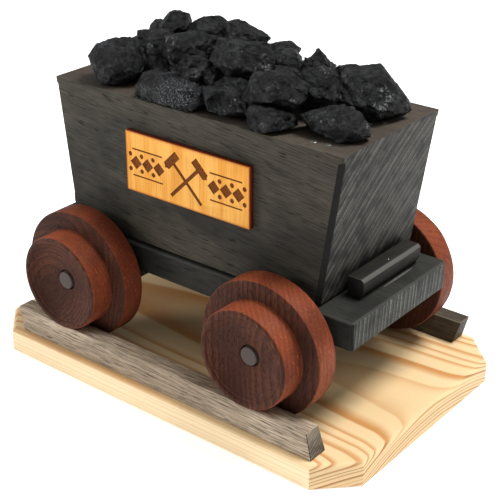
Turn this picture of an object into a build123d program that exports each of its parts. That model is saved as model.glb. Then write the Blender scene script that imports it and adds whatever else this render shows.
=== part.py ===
from build123d import *

import math
import os
import random

# A small wooden mine cart that stands on two rails on a display board.
#
# X runs along the rails, Y across them, Z up. The origin is the middle of the
# board's underside. Every size is in millimetres. The cart is built up from a
# solid body block on a chassis plate, two turning wheelsets held in bearers
# under the plate, and a heap of coal glued on the block's flat top.

# Display board: planed softwood with its four corners sawn off
board_length = 250
board_width = 160
board_thickness = 14
board_corner_cut = 19
board_edge_round = 1.6

# Rails: one hardwood bar each, narrower at the top, with both ends sawn at the
# same slant. They stop a little short of the board's ends.
rail_end_setback = 23
rail_height = 14
rail_top_width = 10
rail_foot_width = 12.2
rail_foot_inset = 3.6
rail_end_lean = 4
rail_centre_x = 0.5
rail_edge_round = 0.4

# Wheels: flange and tread turned from one piece, with a dished outer face
tread_radius = 27
tread_width = 14
flange_height = 10
flange_width = 14
wheel_edge_round = 0.8
wheel_rim_width = 1.8
dish_depth = 6.2
dish_sag = 1.6
pin_pocket_gap = 1.6
boss_wall = 3.5
flange_to_rail_gap = 0.7
tread_to_rail_gap = 0.1

# Axles: hardwood dowel, glued into the wheels and turning in the bearers
axle_radius = 5
axle_end_recess = 5.4
axle_end_chamfer = 0.5
axle_running_clearance = 0.05
wheelbase = 128.6

# Where the cart stands along the rails, and where its axles sit under it
cart_x = -0.6
axle_shift = -1.5

# Chassis plate: it fills the space between the wheels, and sticks out past the
# top of the block at both ends
plate_overhang = 9.9
plate_to_flange_gap = 5.5
plate_thickness = 15.5
plate_corner_round = 2.4
plate_edge_round = 1.8

# Body block: upright sides, ends that lean out towards the top
block_top_length = 190
block_front_lean = 12.2
block_rear_lean = 9.6
block_side_step = 2
block_height = 83
block_edge_round = 0.6

# The block's upright corners are chamfered up to a little below the top
block_arris_chamfer = 2.6
chamfer_stop = 4

# Coupling bars across the two ends of the plate
bar_length = 53.4
bar_shift = 5
bar_depth = 9.8
bar_height = 11.5
bar_bevel_height = 5
bar_bevel_depth = 2.6
bar_edge_round = 0.8
bar_to_block_gap = 1.4

# Bearers: one block under the plate for each axle, slotted from the top
bearer_length = 32
bearer_floor = 4.9
wheel_side_play = 0.5

# Plaque: thin plywood glued on the left side of the block
plaque_width = 83
plaque_height = 33.5
plaque_thickness = 3.1
plaque_centre_height = 48.9
plaque_shift = 0.5

# Wood screws, all driven from below
screw_clearance = 0.1
screw_head_height = 2.2
screw_tip_height = 3
rail_screw_radius = 1.5
rail_screw_head_radius = 3
rail_screw_tip_gap = 4
rail_screw_end_distance = 36
bearer_screw_radius = 1.5
bearer_screw_head_radius = 3
bearer_screw_tip_gap = 5.5
bearer_screw_side_distance = 12
body_screw_radius = 2
body_screw_head_radius = 4
body_screw_length = 40
body_screw_distance = 18
cross_slot_width = 0.9
cross_slot_depth = 1.3

# Coal: every lump is (x, y, z) of its middle from the middle of the block's
# top, half its length, width and height, and how far it is turned. They are
# laid out for a bed of this length and width, and spread to fit the block.
coal_bed_length = 190
coal_bed_width = 84
coal_lumps = [
    ((-63, -26, 11), (14, 13, 12), 20),
    ((-52, -8, 12), (13, 12, 14), -15),
    ((-72, 15, 18), (8, 7, 6), 10),
    ((-54, 11, 25), (9, 8, 8), 30),
    ((-29, -9, 21), (12, 10, 9), 15),
    ((-35, 16, 22), (13, 10, 9), -20),
    ((-19, 23, 21), (15, 10, 9), 10),
    ((6, -6, 21), (17, 13, 10), -8),
    ((4, 29, 17), (9, 8, 5), 25),
    ((17, 16, 14), (10, 9, 9), -10),
    ((-15, -18, 13), (11, 9, 9), 35),
    ((-1, -16, 11), (9, 8, 9), 0),
    ((-17, -34.5, 6.5), (21, 9, 8), 3),
    ((17, -28, 9.5), (15, 12, 12), -25),
    ((41, -24, 17), (15, 11, 9), 5),
    ((45, -33.5, 5.5), (13, 9, 7), -4),
    ((75, -21.5, 6), (19, 10, 7), 2),
    ((36, 21, 15), (12, 11, 14), 30),
    ((51, -2, 13), (12, 11, 12), 12),
    ((68, 15, 12), (21, 17, 14), -12),
    ((-74, 11, 7), (14, 15, 10), 15),
    ((-55, 25, 10), (15, 13, 12), -30),
    ((-34, -8, 7), (15, 14, 10), 0),
    ((-29, 26, 8), (16, 14, 11), 18),
    ((-6, 10, 8), (16, 14, 10), -14),
    ((0, 31, 7), (16, 11, 9), 6),
    ((26, 33, 6), (14, 10, 8), -8),
    ((25, 3, 8), (14, 13, 10), 22),
    ((48, 33, 7), (14, 9, 9), 12),
]
coal_facets = 16
coal_flattening = 0.85
coal_seed = 11

# Hot glue that squeezed out beside the lumps: (x, y) from the middle of the
# block's top, and each bead's radius
glue_beads = [
    ((72, -34.5), 2.4),
    ((80, -33.5), 2),
    ((79, 3), 1.9),
    ((84, 8), 1.6),
    ((-42, -33), 1.8),
    ((-88, -8), 1.7),
]
glue_bead_height = 0.4
glue_bead_sides = 8
glue_bead_taper = 40

# Sizes, heights and places that follow from the sizes above
rail_length = board_length - 2 * rail_end_setback
flange_radius = tread_radius + flange_height
pin_pocket_radius = axle_radius + pin_pocket_gap
boss_radius = axle_radius + boss_wall
rail_top_z = board_thickness + rail_height
axle_z = rail_top_z + tread_to_rail_gap + tread_radius
bore_radius = axle_radius + axle_running_clearance
bearer_height = 2 * bore_radius + bearer_floor
plate_bottom_z = axle_z + bore_radius
plate_top_z = plate_bottom_z + plate_thickness
block_top_z = plate_top_z + block_height
rail_foot_outer_y = board_width / 2 - rail_foot_inset
rail_foot_inner_y = rail_foot_outer_y - rail_foot_width
rail_middle_y = (rail_foot_outer_y + rail_foot_inner_y) / 2
flange_front_y = rail_foot_inner_y - flange_to_rail_gap
flange_back_y = flange_front_y - flange_width
wheel_outer_y = flange_front_y + tread_width
axle_end_y = wheel_outer_y - axle_end_recess
plate_length = block_top_length + 2 * plate_overhang
plate_width = 2 * (flange_back_y - plate_to_flange_gap)
block_width = plate_width - 2 * block_side_step
front_axle_x = cart_x + axle_shift + wheelbase / 2
rear_axle_x = cart_x + axle_shift - wheelbase / 2
rail_screw_length = rail_top_z - rail_screw_tip_gap
bearer_screw_length = bearer_height + plate_thickness - bearer_screw_tip_gap

sitting = (Align.CENTER, Align.CENTER, Align.MIN)
hanging = (Align.CENTER, Align.CENTER, Align.MAX)

os.makedirs("parts", exist_ok=True)


def keep(piece, name):
    piece.label = name
    export_step(piece, f"parts/{name}.step")


def place_screw_holes(spots, head_z, radius, head_radius, length):
    """Cut countersunk holes for screws that go up from head_z."""
    with Locations(*[(x, y, head_z) for x, y in spots]):
        Cylinder(radius + screw_clearance, length + screw_clearance, align=sitting, mode=Mode.SUBTRACT)
        Cone(
            head_radius + screw_clearance,
            radius + screw_clearance,
            screw_head_height + screw_clearance,
            align=sitting,
            mode=Mode.SUBTRACT,
        )


def wood_screws(spots, head_z, radius, head_radius, length):
    """Countersunk, cross-slotted screws with their heads down at head_z."""
    shank_length = length - screw_head_height - screw_tip_height
    with BuildPart() as screws:
        with Locations(*[(x, y, head_z) for x, y in spots]):
            Cone(head_radius, radius, screw_head_height, align=sitting)
        with Locations(*[(x, y, head_z + screw_head_height) for x, y in spots]):
            Cylinder(radius, shank_length, align=sitting)
        with Locations(*[(x, y, head_z + screw_head_height + shank_length) for x, y in spots]):
            Cone(radius, radius / 5, screw_tip_height, align=sitting)
        with Locations(*[(x, y, head_z) for x, y in spots]):
            Box(head_radius, cross_slot_width, cross_slot_depth, align=sitting, mode=Mode.SUBTRACT)
            Box(cross_slot_width, head_radius, cross_slot_depth, align=sitting, mode=Mode.SUBTRACT)
    return screws.part


# ---- Display board ----------------------------------------------------------

rail_screw_x = rail_length / 2 - rail_screw_end_distance
rail_screw_spots = [
    (rail_centre_x + end * rail_screw_x, side * rail_middle_y) for end in (-1, 1) for side in (-1, 1)
]

with BuildPart() as base_board:
    with BuildSketch():
        Rectangle(board_length, board_width)
        chamfer(vertices(), board_corner_cut)
    extrude(amount=board_thickness)
    fillet(faces().sort_by(Axis.Z)[-1].edges(), board_edge_round)
    place_screw_holes(rail_screw_spots, 0, rail_screw_radius, rail_screw_head_radius, rail_screw_length)
keep(base_board.part, "base_board")

# ---- Rails ------------------------------------------------------------------
# The right rail is the left one turned end for end, so its ends lean the
# other way.

for side, name in ((-1, "left_rail"), (1, "right_rail")):
    rail_section = Plane(
        origin=(rail_centre_x, side * rail_middle_y, board_thickness), x_dir=(0, side, 0), z_dir=(side, 0, 0)
    )
    with BuildPart() as rail:
        with BuildSketch(rail_section):
            with BuildLine():
                Polyline(
                    (-rail_foot_width / 2, 0),
                    (rail_foot_width / 2, 0),
                    (rail_top_width / 2, rail_height),
                    (-rail_top_width / 2, rail_height),
                    close=True,
                )
            make_face()
        extrude(amount=rail_length / 2 + rail_end_lean, both=True)
        for end in (-1, 1):
            end_middle = (rail_centre_x + end * rail_length / 2, 0, board_thickness + rail_height / 2)
            slant = (end * rail_height, 0, -end * side * rail_end_lean)
            split(bisect_by=Plane(origin=end_middle, z_dir=slant), keep=Keep.BOTTOM)
        fillet(faces().sort_by(Axis.Z)[-1].edges().filter_by(Axis.X), rail_edge_round)
        place_screw_holes(rail_screw_spots, 0, rail_screw_radius, rail_screw_head_radius, rail_screw_length)
    keep(rail.part, name)

keep(
    wood_screws(rail_screw_spots, 0, rail_screw_radius, rail_screw_head_radius, rail_screw_length),
    "rail_screws",
)

# ---- Chassis plate ----------------------------------------------------------

body_screw_spots = [
    (cart_x + end * body_screw_distance, side * body_screw_distance)
    for end in (-1, 1)
    for side in (-1, 1)
]
bearer_screw_spots = {
    axle_x: [
        (axle_x + end * bearer_screw_side_distance, side * plate_width / 4)
        for end in (-1, 1)
        for side in (-1, 1)
    ]
    for axle_x in (front_axle_x, rear_axle_x)
}
bearer_bottom_z = plate_bottom_z - bearer_height

with BuildPart() as chassis_plate:
    with Locations((cart_x, 0, plate_bottom_z)):
        Box(plate_length, plate_width, plate_thickness, align=sitting)
    fillet(edges().filter_by(Axis.Z), plate_corner_round)
    fillet(faces().sort_by(Axis.Z)[-1].edges(), plate_edge_round)
    place_screw_holes(
        body_screw_spots, plate_bottom_z, body_screw_radius, body_screw_head_radius, body_screw_length
    )
    for spots in bearer_screw_spots.values():
        place_screw_holes(
            spots, bearer_bottom_z, bearer_screw_radius, bearer_screw_head_radius, bearer_screw_length
        )
keep(chassis_plate.part, "chassis_plate")

# ---- Body block -------------------------------------------------------------

block_half_top = block_top_length / 2
block_half_width = block_width / 2
chamfer_height = block_height - chamfer_stop

with BuildPart() as body_block:
    with BuildSketch(Plane(origin=(cart_x, 0, plate_top_z), x_dir=(1, 0, 0), z_dir=(0, -1, 0))):
        with BuildLine():
            Polyline(
                (block_rear_lean - block_half_top, 0),
                (block_half_top - block_front_lean, 0),
                (block_half_top, block_height),
                (-block_half_top, block_height),
                close=True,
            )
        make_face()
    extrude(amount=block_half_width, both=True)
    fillet(faces().sort_by(Axis.Z)[-1].edges(), block_edge_round)
    for end, lean in ((1, block_front_lean), (-1, block_rear_lean)):
        for side in (-1, 1):
            foot = Vector(cart_x + end * (block_half_top - lean), side * block_half_width, plate_top_z)
            arris = Vector(end * lean, 0, block_height)
            stop = foot + arris * (chamfer_height / block_height)
            below = foot - arris * (chamfer_stop / block_height)
            inward_x = Vector(-end * block_arris_chamfer, 0, 0)
            inward_y = Vector(0, -side * block_arris_chamfer, 0)
            outward = Vector(end * block_arris_chamfer, side * block_arris_chamfer, 0)
            with BuildSketch(Plane(origin=below, x_dir=(1, 0, 0), z_dir=(0, 0, 1))):
                with BuildLine():
                    Polyline(*[(v.X, v.Y) for v in (inward_x, inward_y, outward)], close=True)
                make_face()
            extrude(amount=(stop - below).length, dir=arris.normalized(), mode=Mode.SUBTRACT)
    place_screw_holes(
        body_screw_spots, plate_bottom_z, body_screw_radius, body_screw_head_radius, body_screw_length
    )
keep(body_block.part, "body_block")

keep(
    wood_screws(
        body_screw_spots, plate_bottom_z, body_screw_radius, body_screw_head_radius, body_screw_length
    ),
    "body_screws",
)

# ---- Coupling bars ----------------------------------------------------------
# Each bar stands on the plate, a little clear of the leaning end of the block. The
# lower part of its outer face is bevelled back.

for end, lean, name in (
    (1, block_front_lean, "front_coupling_bar"),
    (-1, block_rear_lean, "rear_coupling_bar"),
):
    bar_back = block_half_top - lean * (1 - bar_height / block_height) + bar_to_block_gap
    bar_plane = Plane(
        origin=(cart_x, end * bar_shift, plate_top_z), x_dir=(end, 0, 0), z_dir=(0, -end, 0)
    )
    with BuildPart() as bar:
        with BuildSketch(bar_plane):
            with BuildLine():
                Polyline(
                    (bar_back, 0),
                    (bar_back + bar_depth - bar_bevel_depth, 0),
                    (bar_back + bar_depth, bar_bevel_height),
                    (bar_back + bar_depth, bar_height),
                    (bar_back, bar_height),
                    close=True,
                )
            make_face()
        extrude(amount=bar_length / 2, both=True)
        top_edges = faces().sort_by(Axis.Z)[-1].edges().filter_by(Axis.Y).sort_by(Axis.X)
        fillet(top_edges[-1 if end > 0 else 0], bar_edge_round)
    keep(bar.part, name)

# ---- Plaque -----------------------------------------------------------------

with BuildPart() as plaque:
    with Locations((cart_x + plaque_shift, -block_width / 2 - plaque_thickness / 2, 0)):
        with Locations((0, 0, plate_top_z + plaque_centre_height)):
            Box(plaque_width, plaque_thickness, plaque_height)
keep(plaque.part, "plaque")

# ---- Axle bearers -----------------------------------------------------------
# The plate closes each bearer's slot and keeps the axle in it.

for axle_x, name in ((front_axle_x, "front_bearer"), (rear_axle_x, "rear_bearer")):
    with BuildPart() as bearer:
        with Locations((axle_x, 0, plate_bottom_z)):
            Box(bearer_length, plate_width, bearer_height, align=hanging)
        with Locations(Location((axle_x, 0, axle_z), (90, 0, 0))):
            Cylinder(bore_radius, plate_width, mode=Mode.SUBTRACT)
        with Locations((axle_x, 0, axle_z)):
            Box(2 * bore_radius, plate_width, bore_radius, align=sitting, mode=Mode.SUBTRACT)
        place_screw_holes(
            bearer_screw_spots[axle_x],
            bearer_bottom_z,
            bearer_screw_radius,
            bearer_screw_head_radius,
            bearer_screw_length,
        )
    keep(bearer.part, name)

all_bearer_screw_spots = bearer_screw_spots[front_axle_x] + bearer_screw_spots[rear_axle_x]
keep(
    wood_screws(
        all_bearer_screw_spots,
        bearer_bottom_z,
        bearer_screw_radius,
        bearer_screw_head_radius,
        bearer_screw_length,
    ),
    "bearer_screws",
)

# ---- Wheelsets --------------------------------------------------------------
# A wheel's outline is drawn by its distance from the axle and its place across
# the track, and turned about the axle. A boss on its back faces the bearer.

boss_face_y = plate_width / 2 + wheel_side_play
dish_radius = tread_radius - wheel_rim_width
dish_bottom_y = wheel_outer_y - dish_depth


def wheel(axle_x, side):
    centre = (axle_x, 0, axle_z)
    with BuildPart() as turned:
        with BuildSketch(Plane(origin=centre, x_dir=(1, 0, 0), z_dir=(0, 0, side))):
            with BuildLine():
                rim_and_back = Polyline(
                    (dish_radius, wheel_outer_y),
                    (tread_radius, wheel_outer_y),
                    (tread_radius, flange_front_y),
                    (flange_radius, flange_front_y),
                    (flange_radius, flange_back_y),
                    (boss_radius, flange_back_y),
                    (boss_radius, boss_face_y),
                    (axle_radius, boss_face_y),
                    (axle_radius, dish_bottom_y),
                    (pin_pocket_radius, dish_bottom_y),
                )
                SagittaArc(rim_and_back @ 1, rim_and_back @ 0, dish_sag)
            make_face()
        revolve(axis=Axis(centre, (0, 1, 0)))
        circles = edges().filter_by(GeomType.CIRCLE)
        flange_edges = circles.filter_by(lambda edge: abs(edge.radius - flange_radius) < 0.01)
        tread_edges = circles.filter_by(lambda edge: abs(edge.radius - tread_radius) < 0.01)
        outer_tread_edge = tread_edges.sort_by(Axis.Y)[-1 if side > 0 else 0]
        fillet(flange_edges + [outer_tread_edge], wheel_edge_round)
    return turned.part


for axle_x, end_name in ((front_axle_x, "front"), (rear_axle_x, "rear")):
    with BuildPart() as axle:
        with Locations(Location((axle_x, 0, axle_z), (90, 0, 0))):
            Cylinder(axle_radius, 2 * axle_end_y)
        chamfer(edges().filter_by(GeomType.CIRCLE), axle_end_chamfer)
    keep(axle.part, f"{end_name}_axle")
    keep(wheel(axle_x, -1), f"{end_name}_left_wheel")
    keep(wheel(axle_x, 1), f"{end_name}_right_wheel")

# ---- Coal -------------------------------------------------------------------
# A lump starts as a box and is split flat on many sides, as coal breaks. Where
# two lumps would run into each other, both end at one shared plane between
# them, and a lump that sits low ends at the block's top.

block_top = Vector(cart_x, 0, block_top_z)
spread_x = block_top_length / coal_bed_length
spread_y = block_width / coal_bed_width
coal_lumps = [
    ((x * spread_x, y * spread_y, z), (half_x * spread_x, half_y * spread_y, half_z), yaw)
    for (x, y, z), (half_x, half_y, half_z), yaw in coal_lumps
]


def local_directions(count, chance):
    """Directions spread over a ball, each pushed a little off its place."""
    directions = []
    for number in range(count):
        height = 1 - 2 * (number + 0.5) / count
        turn = math.radians(137.508) * number
        ring = math.sqrt(1 - height * height)
        direction = Vector(
            ring * math.cos(turn) + chance.uniform(-0.3, 0.3),
            ring * math.sin(turn) + chance.uniform(-0.3, 0.3),
            height + chance.uniform(-0.3, 0.3),
        )
        directions.append(direction.normalized())
    return directions


def reach(half_size, yaw, direction):
    """How far an ellipsoid of this size and turn reaches in a direction."""
    local = direction.rotate(Axis.Z, -yaw)
    return math.hypot(half_size[0] * local.X, half_size[1] * local.Y, half_size[2] * local.Z)


def shared_walls(index):
    """Planes that part one lump from the lumps around it."""
    middle, half_size, yaw = coal_lumps[index]
    walls = []
    for other_index, (other_middle, other_half_size, other_yaw) in enumerate(coal_lumps):
        if other_index == index:
            continue
        gap = Vector(*other_middle) - Vector(*middle)
        towards = gap.normalized()
        own_reach = reach(half_size, yaw, towards)
        other_reach = reach(other_half_size, other_yaw, towards)
        if gap.length < 1.25 * (own_reach + other_reach):
            distance = gap.length * own_reach / (own_reach + other_reach)
            walls.append((Vector(*middle) + towards * distance, towards))
    return walls


chance = random.Random(coal_seed)

for index, (middle, half_size, yaw) in enumerate(coal_lumps):
    cuts = shared_walls(index)
    for direction in local_directions(coal_facets, chance):
        distance = reach(half_size, 0, direction) * chance.uniform(coal_flattening, 1)
        turned_direction = direction.rotate(Axis.Z, yaw)
        cuts.append((Vector(*middle) + turned_direction * distance, turned_direction))
    cuts.append((Vector(0, 0, 0), Vector(0, 0, -1)))
    with BuildPart() as lump:
        with Locations(Location(block_top + Vector(*middle), (0, 0, yaw))):
            Box(2 * half_size[0], 2 * half_size[1], 2 * half_size[2])
        for point, outward in cuts:
            split(bisect_by=Plane(origin=block_top + point, z_dir=outward), keep=Keep.BOTTOM)
    keep(lump.part, f"coal_{index + 1:02d}")

# ---- Glue beads -------------------------------------------------------------
# Each bead is a low cap that narrows upwards.

with BuildPart() as beads:
    for (x, y), radius in glue_beads:
        with BuildSketch(Plane(block_top + Vector(x * spread_x, y * spread_y, 0))):
            RegularPolygon(radius, glue_bead_sides)
        extrude(amount=glue_bead_height, taper=glue_bead_taper)
keep(beads.part, "glue_beads")
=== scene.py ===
import math
import random

import bmesh
import bpy
from mathutils import Matrix, Vector


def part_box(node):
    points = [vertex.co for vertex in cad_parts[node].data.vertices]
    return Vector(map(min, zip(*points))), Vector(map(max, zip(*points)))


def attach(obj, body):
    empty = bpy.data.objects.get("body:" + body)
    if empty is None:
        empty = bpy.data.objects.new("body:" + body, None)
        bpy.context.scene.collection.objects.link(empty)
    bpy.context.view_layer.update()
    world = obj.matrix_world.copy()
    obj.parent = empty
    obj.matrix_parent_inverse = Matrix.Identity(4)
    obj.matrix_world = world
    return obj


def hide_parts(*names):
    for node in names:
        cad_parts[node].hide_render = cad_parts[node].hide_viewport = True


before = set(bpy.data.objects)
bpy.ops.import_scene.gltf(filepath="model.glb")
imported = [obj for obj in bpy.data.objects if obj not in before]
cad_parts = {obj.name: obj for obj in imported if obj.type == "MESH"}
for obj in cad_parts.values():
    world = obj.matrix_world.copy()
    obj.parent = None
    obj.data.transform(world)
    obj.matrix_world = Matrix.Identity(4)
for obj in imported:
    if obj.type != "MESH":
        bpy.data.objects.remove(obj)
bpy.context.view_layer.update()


# ---- Display board ----------------------------------------------------------
# A planed pine board, 14 mm thick, with its four corners sawn off and the edges
# of its top sanded round by hand. The growth rings lie almost flat in it, so
# they show as broad bands on top and as thin lines along the edges.

MM = 0.001


class Signal:
    """A number or a vector on its way through a finish, with ordinary arithmetic."""

    def __init__(self, finish, socket):
        self.finish = finish
        self.socket = socket

    def __add__(self, other):
        return self.finish.maths("ADD", self, other)

    def __sub__(self, other):
        return self.finish.maths("SUBTRACT", self, other)

    def __rsub__(self, other):
        return self.finish.maths("SUBTRACT", other, self)

    def __mul__(self, other):
        return self.finish.maths("MULTIPLY", self, other)

    def __truediv__(self, other):
        return self.finish.maths("DIVIDE", self, other)

    def __abs__(self):
        return self.finish.maths("ABSOLUTE", self)

    __radd__ = __add__
    __rmul__ = __mul__


class Finish:
    """A material whose Principled shader is fed by nodes that one method adds."""

    def __init__(self, name, **constants):
        self.material = bpy.data.materials.new(name)
        self.material.use_nodes = True
        self.tree = self.material.node_tree
        self.shader = self.tree.nodes["Principled BSDF"]
        for socket, value in constants.items():
            self.shader.inputs[socket.replace("_", " ")].default_value = value

    def node(self, kind, inputs, output=0, **settings):
        made = self.tree.nodes.new(kind)
        for setting, value in settings.items():
            setattr(made, setting, value)
        for socket, value in inputs.items():
            self.feed(made.inputs[socket], value)
        return Signal(self, made.outputs[output])

    def feed(self, socket, value):
        if isinstance(value, Signal):
            self.tree.links.new(value.socket, socket)
        else:
            socket.default_value = value

    def maths(self, operation, first, second=0.0):
        return self.node("ShaderNodeMath", {0: first, 1: second}, operation=operation)

    def larger(self, first, second):
        return self.maths("MAXIMUM", first, second)

    def mix(self, factor, first, second):
        """From the first colour to the second as the factor goes from 0 to 1."""
        sockets = {0: factor, 6: first, 7: second}
        return self.node("ShaderNodeMix", sockets, output=2, data_type="RGBA")

    def step(self, value, low, high):
        """0 below the low value and 1 above the high one, smoothly between."""
        sockets = {"Value": value, "From Min": low, "From Max": high}
        return self.node("ShaderNodeMapRange", sockets, interpolation_type="SMOOTHSTEP")

    def vector(self, x, y, z):
        return self.node("ShaderNodeCombineXYZ", {0: x, 1: y, 2: z})

    def noise(self, vector, detail=2.0, roughness=0.5):
        sockets = {"Vector": vector, "Scale": 1.0, "Detail": detail, "Roughness": roughness}
        return self.node("ShaderNodeTexNoise", sockets)

    def places(self, origin=(0, 0, 0), turn=(0, 0, 0)):
        """Millimetres from an origin along turned axes, which move with the piece."""
        sockets = {
            "Vector": self.node("ShaderNodeTexCoord", {}, output="Object"),
            "Location": origin,
            "Rotation": [math.radians(angle) for angle in turn],
            "Scale": (MM, MM, MM),
        }
        mapped = self.node("ShaderNodeMapping", sockets, vector_type="TEXTURE")
        return [self.node("ShaderNodeSeparateXYZ", {0: mapped}, output=axis) for axis in range(3)]

    def normal(self, axis):
        """How squarely the surface faces up X, Y or Z (0, 1 or 2), below 0 if down it."""
        normal = self.node("ShaderNodeTexCoord", {}, output="Normal")
        return self.node("ShaderNodeSeparateXYZ", {0: normal}, output=axis)

    def facing(self, axis):
        """How squarely the surface faces along an axis, either way."""
        return abs(self.normal(axis))

    def surface(self, colour, roughness, height, depth, strength=1.0):
        """Feed the shader, with the height from 0 to 1 as a relief of this depth."""
        self.feed(self.shader.inputs["Base Color"], colour)
        self.feed(self.shader.inputs["Roughness"], roughness)
        sockets = {"Height": height, "Distance": depth, "Strength": strength}
        self.feed(self.shader.inputs["Normal"], self.node("ShaderNodeBump", sockets))


def rgb(red, green, blue):
    """A colour of a screen, 0 to 255, as the linear colour that shaders take."""
    shares = [value / 255 for value in (red, green, blue)]
    return (*[s / 12.92 if s < 0.0405 else ((s + 0.055) / 1.055) ** 2.4 for s in shares], 1.0)


class Timber:
    """Where each point of a piece of wood lies among its fibres and growth rings."""

    def __init__(self, finish, pith, turn, ring, wander=2.0):
        self.finish = finish
        self.along, self.a, self.b = finish.places(pith, turn)
        bends = finish.vector(self.along * 0.008, self.a * 0.025, self.b * 0.025)
        squared = self.a * self.a + self.b * self.b
        radius = finish.maths("POWER", squared, 0.5) + (finish.noise(bends) - 0.5) * wander
        uneven = finish.noise(finish.vector(radius / ring * 0.31, 0.0, 0.0), 1)
        self.count = radius / ring + uneven * 1.6
        self.place = finish.maths("FRACT", self.count)

    def band(self, start, full, fade=0.93):
        """One layer of every ring, which sets in slowly and ends sharply."""
        return self.finish.step(self.place, start, full) * (
            1 - self.finish.step(self.place, fade, 1.0)
        )

    def fibres(self, length, width, detail=2.0):
        """Streaks along the grain, with their length and width in millimetres."""
        spots = self.finish.vector(self.along / length, self.a / width, self.b / width)
        return self.finish.noise(spots, detail, 0.6)

    def pores(self, length, width, amount):
        """Open vessels: short dashes along the grain, and dots on its end."""
        return self.finish.step(self.fibres(length, width, 1.0), 1 - amount, 1.08 - amount)


def deselect():
    if bpy.context.object and bpy.context.object.mode == "EDIT":
        bpy.ops.object.mode_set(mode="OBJECT")
    bpy.ops.object.select_all(action="DESELECT")


def take(piece):
    """Select one piece alone and make it the active one."""
    deselect()
    piece.select_set(True)
    bpy.context.view_layer.objects.active = piece


def cube(name, low, high):
    """A box between two corners, left in edit mode."""
    deselect()
    bpy.ops.mesh.primitive_cube_add(size=1, location=(low + high) / 2)
    piece = bpy.context.object
    piece.name = name
    piece.scale = high - low
    bpy.ops.object.transform_apply(location=True, rotation=True, scale=True)
    bpy.ops.object.mode_set(mode="EDIT")
    return piece


def pick(kind, test):
    """Select only the vertices, edges or faces in edit mode that pass a test."""
    bpy.ops.mesh.select_mode(type={"verts": "VERT", "edges": "EDGE", "faces": "FACE"}[kind])
    bpy.ops.mesh.select_all(action="DESELECT")
    mesh = bmesh.from_edit_mesh(bpy.context.object.data)
    for part in getattr(mesh, kind):
        part.select_set(bool(test(part)))
    mesh.select_flush_mode()
    bmesh.update_edit_mesh(bpy.context.object.data)


def runs(edge, axis):
    """Whether an edge runs along X, Y or Z (0, 1 or 2), leaning or not."""
    span = edge.verts[1].co - edge.verts[0].co
    return abs(span[axis]) > 0.8 * span.length


def near(value, wanted, give=1e-5):
    return abs(value - wanted) < give


def shift(x=0.0, y=0.0, z=0.0):
    bpy.ops.transform.translate(value=(x, y, z))


def modify(piece, kind, **settings):
    """Add one modifier with these settings and apply it."""
    take(piece)
    modifier = piece.modifiers.new(kind, kind)
    for setting, value in settings.items():
        setattr(modifier, setting, value)
    bpy.ops.object.modifier_apply(modifier=modifier.name)


def soften(piece, width, segments=2, angle=30):
    """Break every arris that is sharper than an angle."""
    sharp = math.radians(angle)
    modify(piece, "BEVEL", width=width, segments=segments, limit_method="ANGLE", angle_limit=sharp)


def cut_out(piece, cutter):
    """Take one solid out of another, and throw the first away."""
    modify(piece, "BOOLEAN", operation="DIFFERENCE", object=cutter, solver="EXACT")
    bpy.data.objects.remove(cutter)


def countersink(piece, node, head_radius, cutter_height):
    """Sink the heads of a node's four screws in the underside of a piece."""
    low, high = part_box(node)
    fit = 0.1 * MM
    for x in (low.x + head_radius, high.x - head_radius):
        for y in (low.y + head_radius, high.y - head_radius):
            deselect()
            bpy.ops.mesh.primitive_cylinder_add(
                vertices=32,
                radius=head_radius + fit,
                depth=cutter_height,
                location=(x, y, low.z),
            )
            bpy.ops.object.mode_set(mode="EDIT")
            pick("faces", lambda face: face.normal.z > 0.9)
            bpy.ops.transform.resize(value=(0.5, 0.5, 1), center_override=(x, y, low.z))
            deselect()
            cut_out(piece, bpy.context.object)


def settle(piece, body, finish, smooth, nodes):
    """Give a finished piece its surface, its body and the CAD nodes it stands for."""
    take(piece)
    bpy.ops.object.shade_smooth_by_angle(angle=math.radians(smooth))
    piece.data.materials.clear()
    piece.data.materials.append(finish.material)
    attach(piece, body)
    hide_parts(*nodes)


BOARD_CORNER = 19 * MM
BOARD_SANDED = 8 * MM
BOARD_DROP = 0.7 * MM
BOARD_ROUND = 2.4 * MM
BOARD_CREST_ROUND = 3.5 * MM
BOARD_ARRIS = 0.5 * MM
SMALL_HEAD = 3 * MM
SINK_CUTTER = 4.6 * MM

low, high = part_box("base_board")
board = cube("pine_board", low, high)
pick("edges", lambda edge: runs(edge, 2))
bpy.ops.mesh.bevel(offset=BOARD_CORNER, segments=1)
pick("faces", lambda face: face.normal.z > 0.9)
bpy.ops.mesh.inset(thickness=BOARD_SANDED)
pick(
    "verts",
    lambda vert: near(vert.co.z, high.z)
    and any(abs(face.normal.z) < 0.1 for face in vert.link_faces),
)
shift(z=-BOARD_DROP)
pick("edges", lambda edge: all(near(vert.co.z, high.z - BOARD_DROP) for vert in edge.verts))
bpy.ops.mesh.bevel(offset=BOARD_ROUND, segments=5)
pick("edges", lambda edge: all(near(vert.co.z, high.z) for vert in edge.verts))
bpy.ops.mesh.bevel(offset=BOARD_CREST_ROUND, segments=5)
soften(board, BOARD_ARRIS, 2, 30)
countersink(board, "rail_screws", SMALL_HEAD, SINK_CUTTER)

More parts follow.
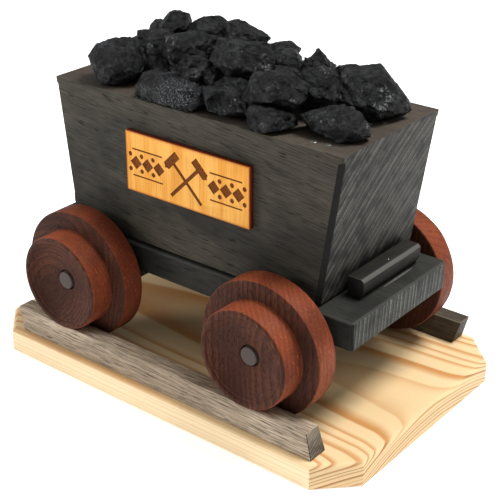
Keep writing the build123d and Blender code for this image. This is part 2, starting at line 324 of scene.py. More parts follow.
# The pith lies far below the board, so the rings run nearly flat through it
PINE_PITH = (0.0, -2 * MM, -176 * MM)
PINE_RING = 2.2
pine = Finish("pine")
pine.shader.inputs["Specular IOR Level"].default_value = 0.25
timber = Timber(pine, PINE_PITH, (0, -0.8, 1.2), PINE_RING, wander=1.3)
on_side = pine.step(pine.facing(1), 0.8, 0.95)
on_end = pine.step(pine.facing(0), 0.3, 0.6)
late = timber.band(0.42, 0.86, 0.89) * (1 - on_side * 0.7)
change = pine.noise(pine.vector(timber.count * 0.7, 3.0, 0.0), 0.0)
fibre = timber.fibres(26, 0.55, 3)
blush = pine.noise(pine.vector(timber.along * 0.012, timber.a * 0.03, timber.b * 0.03))
mild = pine.mix(blush, rgb(228, 200, 156), rgb(218, 186, 138))
pale = pine.mix(on_side, mild, rgb(238, 215, 176))
orange = pine.mix(fibre, rgb(202, 146, 84), rgb(180, 122, 66))
toned = pine.mix(on_end * 0.7, orange, rgb(140, 92, 50))
banded = pine.mix(late * (0.3 + pine.step(change, 0.3, 0.6) * 0.7), pale, toned)
grained = pine.mix(pine.step(fibre, 0.5, 0.8) * 0.25, banded, rgb(204, 150, 94))
pine.surface(grained, 0.62 - late * 0.14 + fibre * 0.1, late * 0.4 + fibre, 0.1 * MM, 0.5)
settle(board, "track", pine, 35, ["base_board"])


# ---- Rails ------------------------------------------------------------------
# Two bars of oak stained a warm grey, planed narrower at the top, the second in darker
# shades that are painted shade. Both ends of a bar are sawn at the same slant, and the
# second bar lies the other way round.

RAIL_TOP_INSET = 1.1 * MM
RAIL_LEAN = 4 * MM
RAIL_ARRIS = 0.5 * MM
SANDED_BROWN = (76, 66, 57)
ARRIS_BLACK = (10, 10, 8)


def oak(
    name,
    pith,
    turn,
    ring,
    shades,
    wander=2.0,
    end_axis=0,
    browned=0.0,
    figure=0.7,
    fine=0.0,
    edge_highlight_and_wear=((100, 98, 92), 0.2),
):
    """Stained oak. Its shades: ground, cloud, dash, and on the end ground and line.

    Browned is how far the stain is sanded off the top, figure and fine are how strong
    the dashes and the finest lines on the end are, and the last argument gives the shade
    and the amount of the painted highlight and wear along the rounded upper edges.
    """
    ground, cloud, dash, end_ground, end_line = [rgb(*shade) for shade in shades]
    finish = Finish(name)
    finish.shader.inputs["Specular IOR Level"].default_value = 0.18
    timber = Timber(finish, pith, turn, ring, wander)
    on_end = finish.step(finish.facing(end_axis), 0.8, 0.93)
    on_arris = finish.step(finish.facing(0) * finish.facing(1), 0.3, 0.42)
    on_top = finish.step(finish.facing(2), 0.8, 0.95)
    sideways = finish.larger(finish.facing(0), finish.facing(1))
    # Painted highlight and wear: rounded edges that slope upwards take a paler shade, as if lit
    edge_sheen_and_wear = finish.step(finish.normal(2) * sideways, 0.2, 0.4)
    porous = 1 - timber.band(0.3, 0.5, 0.96)
    fibre = timber.fibres(22, 0.4, 3)
    open_pores = timber.pores(9, 0.5, 0.43) * (0.3 + porous * 0.7)
    clouds = finish.vector(timber.along * 0.018, timber.a * 0.035, timber.b * 0.035)
    patches = finish.step(finish.noise(clouds, 3.0, 0.6), 0.38, 0.62)
    clouded = finish.mix(patches, ground, cloud)
    streaked = finish.mix(finish.step(fibre, 0.38, 0.64) * figure * 0.75, clouded, dash)
    dashed = finish.mix(open_pores * figure, streaked, dash)
    dots = finish.noise(finish.vector(timber.along, timber.a / 0.5, timber.b / 0.5), 2.0)
    by_ring = finish.noise(finish.vector(timber.count * 0.8, 0.0, 5.0), 1.0)
    strong = finish.step(by_ring, 0.32, 0.62)
    by_place = finish.noise(finish.vector(timber.along, timber.a / 9, timber.b / 9), 2.0)
    faint = finish.step(by_place, 0.3, 0.6)
    thin = timber.band(0.08, 0.16, 0.22) * faint * 0.35
    lines = timber.band(0.45, 0.66, 0.74) * (0.3 + strong * 0.7) * (0.3 + faint * 0.7) + thin
    hatch = finish.noise(finish.vector(timber.count * 3.2, 0.0, 9.0), 1.0)
    lines = finish.larger(lines, finish.step(hatch, 0.5, 0.62) * faint * fine)
    broken = lines * finish.step(dots, 0.3, 0.52)
    speckled = finish.mix(finish.step(dots, 0.5, 0.75) * 0.5, end_ground, dash)
    ended = finish.mix(broken, speckled, end_line)
    sanded = finish.mix(on_top * browned, dashed, rgb(*SANDED_BROWN))
    stained = finish.mix(on_end, sanded, ended)
    # Paler shade along the rounded upper edges: painted highlight and wear
    edge_highlight_shade, edge_highlight_amount = edge_highlight_and_wear
    highlighted = finish.mix(edge_sheen_and_wear * edge_highlight_amount, stained, rgb(*edge_highlight_shade))
    finish.surface(
        finish.mix(on_arris * 0.95, highlighted, rgb(*ARRIS_BLACK)),
        0.66 + open_pores * 0.2 - on_end * 0.06,
        fibre * 0.5 - open_pores * (1 - on_end) + broken * on_end * 0.5,
        0.18 * MM,
        0.6,
    )
    return finish


GREY = ((194, 175, 152), (162, 144, 122), (80, 71, 60), (70, 65, 57), (142, 131, 115))
# The right rail's darker shades are painted shade, for its side that lies in the cart's shadow
SHADED_GREY = ((92, 82, 68), (72, 64, 53), (36, 32, 27), (60, 57, 51), (98, 93, 82))
# Shade and amount of the painted highlight and wear on the rails' rounded upper edges
RAIL_EDGE_HIGHLIGHT = ((160, 144, 124), 0.4)
rail_woods = {
    "left_rail": ((0.0, -90 * MM, 60 * MM), GREY),
    "right_rail": ((0.0, 100 * MM, -30 * MM), SHADED_GREY),
}
for node, (pith, shades) in rail_woods.items():
    low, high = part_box(node)
    middle_y = (low.y + high.y) / 2
    towards = -1 if node == "left_rail" else 1
    rail = cube(node.replace("_rail", "_oak_rail"), low, high)
    pick("verts", lambda vert: near(vert.co.z, high.z) and vert.co.y > middle_y)
    shift(y=-RAIL_TOP_INSET)
    pick("verts", lambda vert: near(vert.co.z, high.z) and vert.co.y < middle_y)
    shift(y=RAIL_TOP_INSET)
    pick("verts", lambda vert: near(vert.co.z, high.z) and vert.co.x * towards < 0)
    shift(x=towards * RAIL_LEAN)
    pick("verts", lambda vert: near(vert.co.z, low.z) and vert.co.x * towards > 0)
    shift(x=-towards * RAIL_LEAN)
    soften(rail, RAIL_ARRIS, 3)
    grey_oak = oak(
        "grey_oak_" + node,
        pith,
        (0, 1.5, 0.8),
        1.7,
        shades,
        wander=3.0,
        figure=1.0,
        edge_highlight_and_wear=RAIL_EDGE_HIGHLIGHT,
    )
    settle(rail, "track", grey_oak, 40, [node])


# ---- Body block -------------------------------------------------------------
# One solid block of oak stained nearly black, with both ends sawn so that they
# lean out. Its upright corners are chamfered up to just below the top, the one
# beside the plaque the widest, and its foot is relieved all round.

FRONT_LEAN = 12.2 * MM
REAR_LEAN = 9.6 * MM
CHAMFER_STOP = 4 * MM
CHAMFER = 2.5 * MM
FAR_CHAMFER = 0.9 * MM
BLOCK_FOOT = 1.3 * MM
BLOCK_UNDERCUT = 3 * MM
BLOCK_ARRIS = 0.45 * MM

low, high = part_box("body_block")
block = cube("oak_body", low, high)
pick("verts", lambda vert: near(vert.co.z, low.z) and vert.co.x > 0)
shift(x=-FRONT_LEAN)
pick("verts", lambda vert: near(vert.co.z, low.z) and vert.co.x < 0)
shift(x=REAR_LEAN)
bpy.ops.mesh.select_all(action="SELECT")
bpy.ops.mesh.bisect(plane_co=(0, 0, high.z - CHAMFER_STOP), plane_no=(0, 0, 1))
for plaque_corner, chamfer in ((True, CHAMFER), (False, FAR_CHAMFER)):
    pick(
        "edges",
        lambda edge: runs(edge, 2)
        and min(vert.co.z for vert in edge.verts) < high.z - 2 * CHAMFER_STOP
        and all((vert.co.x > 0 and vert.co.y < 0) == plaque_corner for vert in edge.verts)
        and all(face.normal.x == 0 or face.normal.y == 0 for face in edge.link_faces),
    )
    bpy.ops.mesh.bevel(offset=chamfer, segments=1)
pick("faces", lambda face: face.normal.z < -0.9)
bpy.ops.mesh.inset(thickness=BLOCK_UNDERCUT)
pick(
    "verts",
    lambda vert: near(vert.co.z, low.z)
    and any(abs(face.normal.z) < 0.5 for face in vert.link_faces),
)
shift(z=BLOCK_FOOT)
soften(block, BLOCK_ARRIS, 3, 25)

BLACK = ((72, 67, 57), (46, 43, 36), (20, 18, 15), (16, 16, 15), (92, 90, 83))
black_oak = oak(
    "black_oak_body",
    (0.0, 260 * MM, -117 * MM),
    (0, 6, 0),
    4.3,
    BLACK,
    wander=4.0,
    browned=0.45,
    figure=0.95,
    fine=0.8,
)
settle(block, "cart", black_oak, 30, ["body_block"])


# ---- Chassis plate ----------------------------------------------------------
# A thick oak plate under the block, with its corners and the edges of its top
# rounded. Four screws go up through it into the block, and their heads are
# sunk in its underside.

PLATE_CORNER = 2.2 * MM
PLATE_ROUND = 1.7 * MM
PLATE_ARRIS = 0.3 * MM
LARGE_HEAD = 4 * MM

low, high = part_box("chassis_plate")
plate = cube("oak_plate", low, high)
pick("edges", lambda edge: runs(edge, 2))
bpy.ops.mesh.bevel(offset=PLATE_CORNER, segments=5)
pick("edges", lambda edge: all(near(vert.co.z, high.z) for vert in edge.verts))
bpy.ops.mesh.bevel(offset=PLATE_ROUND, segments=4)
soften(plate, PLATE_ARRIS, 2, 50)
countersink(plate, "body_screws", LARGE_HEAD, SINK_CUTTER)

PLATE_BLACK = ((46, 46, 41), (33, 33, 30), (19, 18, 16), (24, 26, 25), (102, 103, 96))
PLATE_PITH = (0.0, 420 * MM, 20 * MM)
plate_oak = oak("black_oak_plate", PLATE_PITH, (0, 1.5, -1), 3.4, PLATE_BLACK, wander=3.0)
settle(plate, "cart", plate_oak, 30, ["chassis_plate"])


# ---- Coupling bars ----------------------------------------------------------
# A short oak bar glued across each end of the plate. The lower half of its
# outer face is bevelled back, and its upper outer edge is sanded round.

BAR_BEVEL = 2.6 * MM
BAR_BEVEL_HEIGHT = 5 * MM
BAR_ROUND = 2.6 * MM
BAR_ARRIS = 0.35 * MM
BAR_BLACK = ((40, 38, 33), (29, 27, 24), (17, 16, 14), (24, 24, 22), (44, 44, 41))
# Shade and amount of the painted highlight and wear on the bars' rounded upper edges
BAR_EDGE_HIGHLIGHT = ((112, 111, 105), 0.45)

for node, end in (("front_coupling_bar", 1), ("rear_coupling_bar", -1)):
    low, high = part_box(node)
    middle_x = (low.x + high.x) / 2
    bar = cube(node.replace("coupling", "oak"), low, high)
    bpy.ops.mesh.select_all(action="SELECT")
    bpy.ops.mesh.bisect(plane_co=(0, 0, low.z + BAR_BEVEL_HEIGHT), plane_no=(0, 0, 1))
    pick("verts", lambda vert: near(vert.co.z, low.z) and (vert.co.x - middle_x) * end > 0)
    shift(x=-end * BAR_BEVEL)
    pick(
        "edges",
        lambda edge: all(
            near(vert.co.z, high.z) and (vert.co.x - middle_x) * end > 0 for vert in edge.verts
        ),
    )
    bpy.ops.mesh.bevel(offset=BAR_ROUND, segments=6)
    soften(bar, BAR_ARRIS, 2, 35)
    pith = (50 * MM * end, 0.0, 20 * MM)
    bar_oak = oak(
        "black_oak_" + node, pith, (0, 0, 90), 1.6, BAR_BLACK, end_axis=1, edge_highlight_and_wear=BAR_EDGE_HIGHLIGHT
    )
    settle(bar, "cart", bar_oak, 35, [node])


# ---- Wheels -----------------------------------------------------------------
# Flange and tread of each wheel are turned from one piece of reddish hardwood.
# The outer face is dished, with a raised rim and a small lip inside it, and the
# middle is bored for the axle. Each wheel's grain lies its own way.

WHEEL_SEGMENTS = 112
FACE_RADIUS = 26.6
FACE_FADE = 20
# Distance from the axle, and from the middle of the track, of every turned edge:
# the bore, the flange and its two rounded rims, the tread and its rounded rim,
# the lip, the dish, and the hole for the axle
wheel_outline = [
    (8.1, 44.5), (8.5, 44.9), (8.5, 49.5),
    (35.9, 49.5), (36.5, 49.66), (36.86, 50.05), (37.0, 50.6),
    (37.0, 62.4), (36.86, 62.95), (36.5, 63.34), (35.9, 63.5),
    (27.5, 63.5), (27.1, 63.6), (27.0, 64.0),
    (27.0, 75.6), (26.9, 76.2), (26.6, 76.8), (26.1, 77.25), (25.5, 77.45), (24.8, 77.5),
    (24.0, 77.3), (23.4, 76.8), (23.0, 76.3), (22.5, 76.15), (22.1, 76.25), (21.8, 76.0),
    (20.5, 75.0), (18.0, 73.8), (15.5, 72.8), (13.0, 72.1), (10.5, 71.6), (8.0, 71.3),
    (6.4, 71.1), (5.8, 70.7), (5.5, 69.6), (5.1, 69.2),
]  # fmt: skip


def turn_wood(name, outline, segments):
    """A closed shape turned about the Y axis from its radii and places."""
    deselect()
    first_radius, first_y = outline[0]
    bpy.ops.mesh.primitive_circle_add(
        vertices=segments,
        radius=first_radius * MM,
        fill_type="NGON",
        location=(0, first_y * MM, 0),
        rotation=(math.radians(90), 0, 0),
    )
    piece = bpy.context.object
    piece.name = name
    bpy.ops.object.transform_apply(location=True, rotation=True, scale=True)
    bpy.ops.object.mode_set(mode="EDIT")
    bpy.ops.mesh.select_all(action="SELECT")
    for (radius, y), (next_radius, next_y) in zip(outline, outline[1:]):
        bpy.ops.mesh.extrude_region_move()
        growth = next_radius / radius
        bpy.ops.transform.resize(value=(growth, 1, growth), center_override=(0, y * MM, 0))
        shift(y=(next_y - y) * MM)
    bpy.ops.mesh.select_all(action="SELECT")
    bpy.ops.mesh.normals_make_consistent(inside=False)
    deselect()
    return piece


def copy_of(piece, name, matrix):
    """A copy with a mesh of its own, moved and turned in its mesh."""
    take(piece)
    bpy.ops.object.duplicate(linked=False)
    copy = bpy.context.object
    copy.name = name
    copy.matrix_world = matrix @ copy.matrix_world
    bpy.ops.object.transform_apply(location=True, rotation=True, scale=True)
    return copy


def red_wood(name, centre, pith, turn, ring):
    """Darker brown, as painted shade, on the dished face and the flange's sides, and redder on the
    rims.
    """
    finish = Finish(name)
    x, y, z = finish.places(centre)
    hub = 1 - finish.step(x * x + z * z, FACE_RADIUS**2 - FACE_FADE, FACE_RADIUS**2)
    finish.shader.inputs["Specular IOR Level"].default_value = 0.12
    timber = Timber(finish, pith, turn, ring, 2.5)
    on_face = finish.larger(finish.step(finish.facing(1), 0.5, 0.85), hub)
    fibre = timber.fibres(14, 0.3, 3)
    vessels = timber.pores(3.5, 0.4, 0.47)
    late = timber.band(0.2, 0.85) * (0.22 + on_face * 0.55)
    patches = finish.noise(finish.vector(timber.along * 0.03, timber.a * 0.05, timber.b * 0.05))
    patchy = finish.step(patches, 0.35, 0.65)
    # Painted shade: the dished face and the flange's sides take a darker, browner colour than the
    # rims
    face = finish.mix(patchy, rgb(86, 48, 31), rgb(62, 33, 20))
    rim = finish.mix(patchy, rgb(136, 67, 40), rgb(106, 50, 30))
    flecks = timber.pores(5.0, 1.1, 0.38) * (1 - on_face)
    flecked = finish.mix(flecks * 0.35, rim, rgb(180, 104, 68))
    ringed = finish.mix(late, finish.mix(on_face, flecked, face), rgb(52, 27, 18))
    fibrous = finish.step(fibre, 0.4, 0.75) * (0.3 + on_face * 0.2)
    streaked = finish.mix(fibrous, ringed, rgb(64, 32, 22))
    pored = finish.mix(vessels * (0.3 + on_face * 0.25), streaked, rgb(36, 18, 13))
    dullness = 0.5 + vessels * 0.25 + on_face * 0.08
    finish.surface(pored, dullness, fibre * 0.5 - vessels, 0.16 * MM, 0.55)
    return finish


turned = turn_wood("turned_wheel", wheel_outline, WHEEL_SEGMENTS)
# Where the pith of each wheel's tree lay, in metres, how the grain turns, and its rings
wheel_grain = {
    "front_left_wheel": ((0.16, 0.03, 0.0), (0, -90, 0), 2.6),
    "front_right_wheel": ((-0.05, 0.12, 0.0), (0, -84, 0), 2.8),
    "rear_left_wheel": ((-0.1, -0.03, 0.02), (0, -60, 30), 1.9),
    "rear_right_wheel": ((-0.02, 0.03, 0.09), (4, -12, 8), 3.0),
}
for node, (pith, turn, ring) in wheel_grain.items():
    low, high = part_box(node)
    centre = (low + high) / 2
    facing = Matrix.Rotation(math.pi if centre.y < 0 else 0.0, 4, "Z")
    place = Matrix.Translation((centre.x, 0, centre.z)) @ facing
    wheel = copy_of(turned, "turned_" + node, place)
    red_hardwood = red_wood("red_" + node, centre, pith, turn, ring)
    settle(wheel, node.split("_")[0] + "_wheelset", red_hardwood, 35, [node])
bpy.data.objects.remove(turned)


# ---- Axles ------------------------------------------------------------------
# A 10 mm hardwood dowel for each pair of wheels. Its grey-brown end grain shows
# in the middle of the dish, a little proud of its hole.

AXLE_SEGMENTS = 48
AXLE_RADIUS = 5.0
AXLE_END = 72.1
axle_outline = [
    (4.2, -AXLE_END), (4.75, -AXLE_END + 0.12), (AXLE_RADIUS, -AXLE_END + 0.5),
    (AXLE_RADIUS, AXLE_END - 0.5), (4.75, AXLE_END - 0.12), (4.2, AXLE_END),
]  # fmt: skip

for node in ("front_axle", "rear_axle"):
    low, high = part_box(node)
    centre = (low + high) / 2
    template = turn_wood("dowel", axle_outline, AXLE_SEGMENTS)
    place = Matrix.Translation((centre.x, 0, centre.z))
    axle = copy_of(template, node.replace("axle", "dowel_axle"), place)
    bpy.data.objects.remove(template)
    dowel = Finish("dowel_" + node)
    pith = (centre.x - 20 * MM, 0.0, centre.z - 15 * MM)
    timber = Timber(dowel, pith, (0, 0, 90), 1.1, 1.0)
    specks = dowel.noise(dowel.vector(timber.along * 0.2, timber.a / 0.35, timber.b / 0.35), 3.0)
    ringed = dowel.mix(timber.band(0.3, 0.8) * 0.5, rgb(66, 52, 46), rgb(42, 33, 29))
    dotted = dowel.mix(dowel.step(specks, 0.45, 0.7) * 0.6, ringed, rgb(46, 37, 34))
    dowel.surface(dotted, 0.55 + specks * 0.2, specks, 0.15 * MM, 0.5)
    settle(axle, node.replace("axle", "wheelset"), dowel, 40, [node])


# ---- Bearers ----------------------------------------------------------------
# A slotted oak block for each axle, with the plate's dark stain, screwed up
# into the underside of the plate so that the axle turns in its slot.


def coat(node, finish):
    """Give a CAD node that is kept its material."""
    shape = bpy.data.objects[node]
    shape.data.materials.clear()
    shape.data.materials.append(finish.material)


for node in ("front_bearer", "rear_bearer"):
    low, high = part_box(node)
    pith = (low.x - 60 * MM, 0.0, 160 * MM)
    coat(node, oak("black_oak_" + node, pith, (0, 0, 90), 1.8, PLATE_BLACK, end_axis=1))


# ---- Screws -----------------------------------------------------------------
# Zinc-plated countersunk wood screws, all driven from below: through the board
# into the rails, through the plate into the block, and through the bearers.

steel = Finish("zinc_plated_steel", Metallic=1.0)
x, y, z = steel.places()
scuffs = steel.noise(steel.vector(x / 0.5, y / 0.5, z / 2), 3.0)
plated = steel.mix(scuffs, rgb(186, 186, 182), rgb(226, 224, 214))
steel.surface(plated, 0.25 + scuffs * 0.25, scuffs, 0.05 * MM, 0.4)
for node in ("rail_screws", "body_screws", "bearer_screws"):
    coat(node, steel)


# ---- Plaque -----------------------------------------------------------------
# Thin plywood cut and engraved by a laser, which browned its edges. It carries
# a miner's crossed hammers between two rows of lozenges, and is glued on.

ENGRAVING_DEPTH = 0.35 * MM
PLAQUE_ARRIS = 0.12 * MM
# Lengths and heights of what is engraved, in millimetres
HANDLE = (29, 2)
HAMMER_HEAD = (11, 4.6)
HEAD_PLACE = (9.4, 7.4)
POLL = (3.25, 3.25)
POLL_PLACE = (12.6, 4.2)
LINE = (21, 0.9)
LINE_PLACE = (26.5, 7.4)
LOZENGE = (5.6, 5.6)
DOT = (2.6, 2.6)
DOT_RISE = 4.2
ROW_START = 18.5
ROW_PITCH = 8

low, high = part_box("plaque")
centre = (low + high) / 2
plaque = cube("plywood_plaque", low, high)
deselect()


def engrave(x, z, length, height, angle=0.0, sides=4):
    """Burn a bar or a flat polygon into the plaque's face, in millimetres."""
    deselect()
    spot = (centre.x + x * MM, low.y, centre.z + z * MM)
    if sides == 4:
        bpy.ops.mesh.primitive_cube_add(size=1, location=spot)
        bpy.context.object.scale = (length * MM, 2 * ENGRAVING_DEPTH, height * MM)
    else:
        bpy.ops.mesh.primitive_cylinder_add(
            vertices=sides, radius=length * MM / 2, depth=2 * ENGRAVING_DEPTH, location=spot
        )
        bpy.context.object.scale = (1, height / length, 1)
        bpy.ops.object.transform_apply(location=False, rotation=False, scale=True)
        bpy.context.object.rotation_euler.x = math.radians(90)
        bpy.ops.object.transform_apply(location=False, rotation=True, scale=False)
    bpy.context.object.rotation_euler.y = math.radians(angle)
    bpy.ops.object.transform_apply(location=True, rotation=True, scale=True)
    cut_out(plaque, bpy.context.object)


for side in (-1, 1):
    engrave(0, -2, *HANDLE, side * 45)
    engrave(side * HEAD_PLACE[0], HEAD_PLACE[1], *HAMMER_HEAD, side * 45)
    engrave(side * POLL_PLACE[0], POLL_PLACE[1], *POLL)
    for up in (-1, 1):
        engrave(side * LINE_PLACE[0], up * LINE_PLACE[1], *LINE)
    for count in range(3):
        lozenge_x = ROW_START + ROW_PITCH * count
        engrave(side * lozenge_x, 0, *LOZENGE, 45)
        for up in (-1, 1):
            engrave(side * (lozenge_x + ROW_PITCH / 2), up * DOT_RISE, *DOT, 0, 16)

plywood = Finish("engraved_plywood")
plywood.shader.inputs["Specular IOR Level"].default_value = 0.12
x, y, z = plywood.places(centre)
half = (high - low) / 2 / MM
grain = plywood.noise(plywood.vector(x / 0.45, y / 3, z / 22), 3.0, 0.6)
bands = plywood.noise(plywood.vector(x / 5, y / 5, z / 60), 2.0)
veneer = plywood.mix(plywood.step(bands, 0.35, 0.65), rgb(222, 152, 62), rgb(234, 174, 88))
streaked = plywood.mix(plywood.step(grain, 0.45, 0.75) * 0.5, veneer, rgb(188, 116, 44))
edge = plywood.larger(abs(x) - half.x, abs(z) - half.z)
browned = plywood.mix(plywood.step(edge, -1.4, 0.0) * 0.75, streaked, rgb(168, 84, 34))
inside = plywood.step(y + half.y, 0.08, 0.3)
char = plywood.noise(plywood.vector(x / 0.5, y, z / 0.5), 2.0)
engraved = plywood.mix(plywood.step(char, 0.35, 0.65), rgb(72, 28, 2), rgb(128, 68, 12))
cut = plywood.mix(inside, browned, engraved)
burnt = plywood.mix(plywood.step(y + half.y, 0.4, 2.8), rgb(132, 52, 22), rgb(66, 20, 10))
shown = plywood.mix(plywood.step(edge, -0.12, -0.02), cut, burnt)
plywood.surface(shown, 0.6 + grain * 0.12, grain * 0.5 - inside * 0.2, 0.1 * MM, 0.4)
soften(plaque, PLAQUE_ARRIS, 2, 60)
settle(plaque, "cart", plywood, 30, ["plaque"])


# ---- Coal -------------------------------------------------------------------
# Real coal, broken to lumps of two to four centimetres and heaped on the block,
# each held with hot glue. Its hollows are painted near-black as shade, and some of
# its breaks shine, with pale specks painted on as glints.

COAL_VOXEL = 0.62 * MM
COAL_ARRIS = 0.35 * MM
COAL_COUNT = 29
COAL_CHIPS = 17
CHIP_DEPTHS = (0.6, 2.6)
# Each lump grows about its crown until it leans on the next, less towards the ends
COAL_SWELL = 1.33
COAL_TAPER = 0.17
COAL_RISE = 1.17
# Lumps that narrow to a peak, which is broken off a little below the top
COAL_PEAKS = {18: 0.35, 14: 0.5, 20: 0.75}
PEAK_SHARE = 0.4
PEAK_BLUNTING = 3.2 * MM
# Glints lie thickest on the plaque's side of this lump
BRIGHT_LUMP = 13
BRIGHT_SHIFT = Vector((8, -6, 2)) * MM


def coal_texture(kind, size, **settings):
    texture = bpy.data.textures.new("coal_" + kind.lower(), kind)
    texture.noise_scale = size
    for setting, value in settings.items():
        setattr(texture, setting, value)
    return texture


ridges = coal_texture("CLOUDS", 12 * MM, noise_type="HARD_NOISE", noise_depth=2)
pits = coal_texture("VORONOI", 3.2 * MM, weight_1=1.0, noise_intensity=1.0)

coal = Finish("coal")
coal.shader.inputs["Specular IOR Level"].default_value = 0.2
coal.shader.inputs["Coat Roughness"].default_value = 0.2
x, y, z = coal.places((0, 0, 0), (24, 12, 40))
layers = coal.noise(coal.vector(x / 6, y / 6, z / 0.8), 4.0, 0.65)
rough = coal.noise(coal.vector(x / 1.6, y / 1.6, z / 1.6), 5.0, 0.65)
zones = coal.noise(coal.vector(x / 9, y / 9, z / 9), 2.0)
shiny = coal.step(zones, 0.54, 0.62)
specks = coal.noise(coal.vector(x / 0.7, y / 0.7, z / 0.9), 1.0)
bright_lump = sum(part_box(f"coal_{BRIGHT_LUMP:02d}"), Vector()) / 2
to_x, to_y, to_z = coal.places(bright_lump + BRIGHT_SHIFT)
beside = 1 - coal.step(to_x * to_x + to_y * to_y + to_z * to_z, 60, 200)
glints = coal.larger(beside, coal.step(zones, 0.62, 0.7) * 0.6) * coal.step(specks, 0.56, 0.66)
facets = {"Vector": coal.vector(x / 4.5, y / 4.5, z / 3.5), "Scale": 1.0}
cells = coal.node("ShaderNodeTexVoronoi", facets)
# Painted shade: near-black in the sunk cracks between the facets
crack_shade = coal.step(cells, 0.45, 0.8)
black = coal.mix(coal.step(rough, 0.35, 0.7), rgb(2, 2, 2), rgb(14, 15, 16))
breaks = coal.step(coal.noise(coal.vector(x / 5, y / 5, z / 7), 3.0, 0.6), 0.46, 0.6)
# Paler grey in patches at random over the black
grey_patched = coal.mix(coal.step(layers, 0.45, 0.7) * 0.2 + breaks * 0.28, black, rgb(58, 59, 62))
crack_shaded = coal.mix(crack_shade * 0.7, grey_patched, rgb(3, 3, 3))
sparkling = coal.mix(glints * 0.6, crack_shaded, rgb(140, 142, 148))
coal.feed(coal.shader.inputs["Coat Weight"], shiny * 0.12)
dullness = 0.34 - shiny * 0.1 + rough * 0.16
relief = layers * 0.8 + rough * 1.2 - cells * 2.2
coal.surface(sparkling, dullness, relief, 1.6 * MM)


def loose_copy(node, name):
    """A copy of a CAD node to work on, joined up and in edit mode, all selected."""
    take(bpy.data.objects[node])
    bpy.ops.object.duplicate(linked=False)
    piece = bpy.context.object
    piece.name = name
    bpy.ops.object.mode_set(mode="EDIT")
    bpy.ops.mesh.select_all(action="SELECT")
    bpy.ops.mesh.remove_doubles(threshold=1e-6)
    bpy.ops.mesh.dissolve_limited(angle_limit=math.radians(1))
    return piece


chance = random.Random(7)
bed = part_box("body_block")[1]
for number in range(1, COAL_COUNT + 1):
    node = f"coal_{number:02d}"
    low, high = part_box(node)
    lump = loose_copy(node, f"coal_lump_{number:02d}")
    bpy.ops.mesh.normals_make_consistent(inside=False)
    crown = ((low.x + high.x) / 2, (low.y + high.y) / 2, high.z)
    swell = COAL_SWELL - COAL_TAPER * abs(crown[0]) / bed.x
    bpy.ops.transform.resize(value=(swell, swell, COAL_RISE), center_override=crown)
    if number in COAL_PEAKS:
        point = COAL_PEAKS[number]
        pick("verts", lambda vert: vert.co.z > high.z - PEAK_SHARE * (high.z - low.z))
        bpy.ops.transform.resize(value=(point, point, 1), center_override=crown)
        bpy.ops.mesh.select_all(action="SELECT")
        blunted = (crown[0], crown[1], high.z - PEAK_BLUNTING)
        bpy.ops.mesh.bisect(plane_co=blunted, plane_no=(0, 0, 1), use_fill=True, clear_outer=True)
        bpy.ops.mesh.select_all(action="SELECT")
    seat = {"plane_co": (0, 0, bed.z), "plane_no": (0, 0, -1)}
    bpy.ops.mesh.bisect(**seat, use_fill=True, clear_outer=True)
    for _ in range(COAL_CHIPS):
        outward = Vector([chance.uniform(-1, 1) for _ in range(3)]).normalized()
        corners = [vert.co.copy() for vert in bmesh.from_edit_mesh(lump.data).verts]
        tip = max(corners, key=outward.dot)
        bpy.ops.mesh.select_all(action="SELECT")
        bpy.ops.mesh.bisect(
            plane_co=tip - outward * chance.uniform(*CHIP_DEPTHS) * MM,
            plane_no=outward,
            use_fill=True,
            clear_outer=True,
        )
    deselect()
    soften(lump, COAL_ARRIS, 1, 12)
    modify(lump, "REMESH", mode="VOXEL", voxel_size=COAL_VOXEL)
    for texture, depth, level in ((ridges, 1.8 * MM, 0.75), (pits, 0.9 * MM, 0.8)):
        carving = {"texture": texture, "strength": depth, "mid_level": level}
        modify(lump, "DISPLACE", texture_coords="LOCAL", **carving)
    settle(lump, "cart", coal, 32, [node])


# ---- Hot glue ---------------------------------------------------------------
# Clear hot glue that squeezed out at the foot of some lumps and in a thin line
# at the foot of the front bar, with one speck of it on the bar.

BEAD_ROUND = 0.15 * MM

glue = Finish("clear_hot_glue", Roughness=0.12, Coat_Weight=1.0)
x, y, z = glue.places()
cloudy = glue.noise(glue.vector(x / 1.5, y / 1.5, z / 1.5), 2.0)
glue.surface(glue.mix(cloudy, rgb(56, 54, 48), rgb(96, 94, 88)), 0.12, cloudy, 0.1 * MM, 0.4)

beads = loose_copy("glue_beads", "hot_glue")
deselect()
soften(beads, BEAD_ROUND, 3, 20)
low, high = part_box("front_coupling_bar")
# Where the line and the speck lie, and half their lengths in millimetres
spilt = [
    ((high.x - 0.5 * MM, 11.4 * MM, low.z + 0.1 * MM), (0.9, 14.4, 0.5)),
    ((high.x - 3.8 * MM, 6 * MM, high.z), (0.55, 0.6, 0.3)),
]
for spot, radii in spilt:
    deselect()
    bpy.ops.mesh.primitive_uv_sphere_add(segments=20, ring_count=10, radius=MM, location=spot)
    bpy.context.object.scale = radii
    bpy.ops.object.transform_apply(location=True, rotation=True, scale=True)
    beads.select_set(True)
    bpy.context.view_layer.objects.active = beads
    bpy.ops.object.join()
settle(beads, "cart", glue, 80, ["glue_beads"])


# ---- Floor, light and camera ------------------------------------------------
# A pale floor under soft studio light: a large lamp high on the right, a weaker
# one low on the left, and a surround that glows more from above than from below
# and that the camera sees as plain white.

FLOOR_SIZE = 6
FLOOR_DROP = 0.3 * MM
LAMP_AIM = (0, 0, 0.08)
GLOW_BELOW = 0.16
GLOW_ABOVE = 0.72

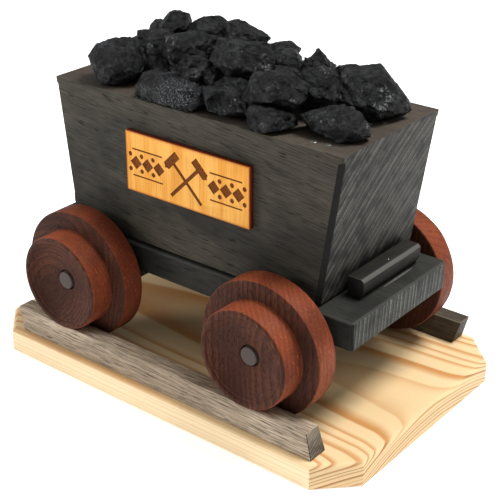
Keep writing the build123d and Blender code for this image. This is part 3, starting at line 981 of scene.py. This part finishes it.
deselect()
bpy.ops.mesh.primitive_plane_add(size=FLOOR_SIZE, location=(0, 0, -FLOOR_DROP))
floor = bpy.context.object
floor.name = "studio_floor"
pale_floor = Finish("pale_floor", Emission_Color=(1, 1, 1, 1), Emission_Strength=0.35)
x, y, z = pale_floor.places()
mottle = pale_floor.noise(pale_floor.vector(x / 40, y / 40, 0.0), 2.0)
white = pale_floor.mix(mottle, rgb(252, 252, 252), rgb(255, 255, 255))
pale_floor.surface(white, 0.9, mottle, 0.01 * MM)
floor.data.materials.append(pale_floor.material)


def lamp(name, place, size, power):
    """A round lamp of a size in metres and a power in watts, aimed at the cart."""
    deselect()
    bpy.ops.object.light_add(type="AREA", location=place)
    light = bpy.context.object
    light.name = name
    light.data.shape = "DISK"
    light.data.size = size
    light.data.energy = power
    light.rotation_euler = (Vector(LAMP_AIM) - Vector(place)).to_track_quat("-Z", "Y").to_euler()


lamp("key_lamp", (0.45, 0.3, 1.25), size=0.5, power=20)
lamp("fill_lamp", (-1.15, -0.85, 0.5), size=0.4, power=11)

surround = bpy.data.worlds.new("studio")
surround.use_nodes = True
sky = surround.node_tree
background = sky.nodes["Background"]
direction = sky.nodes.new("ShaderNodeTexCoord")
height = sky.nodes.new("ShaderNodeSeparateXYZ")
glow = sky.nodes.new("ShaderNodeMapRange")
glow.inputs["To Min"].default_value = GLOW_BELOW
glow.inputs["To Max"].default_value = GLOW_ABOVE
sky.links.new(direction.outputs["Generated"], height.inputs[0])
sky.links.new(height.outputs["Z"], glow.inputs["Value"])
seen = sky.nodes.new("ShaderNodeLightPath")
strength = sky.nodes.new("ShaderNodeMath")
strength.operation = "MAXIMUM"
sky.links.new(glow.outputs["Result"], strength.inputs[0])
sky.links.new(seen.outputs["Is Camera Ray"], strength.inputs[1])
sky.links.new(strength.outputs[0], background.inputs["Strength"])
background.inputs["Color"].default_value = (1, 1, 1, 1)
bpy.context.scene.world = surround
bpy.context.scene.view_settings.view_transform = "Standard"

CAMERA_PLACE = Vector((0.38520, -0.47572, 0.36859))
CAMERA_AIM = Vector((0.004777, 0.0, 0.06894))
CAMERA_LENS = 88.92
deselect()
bpy.ops.object.camera_add(location=CAMERA_PLACE)
camera = bpy.context.object
camera.data.lens = CAMERA_LENS
camera.rotation_euler = (CAMERA_AIM - CAMERA_PLACE).to_track_quat("-Z", "Y").to_euler()
bpy.context.scene.camera = camera
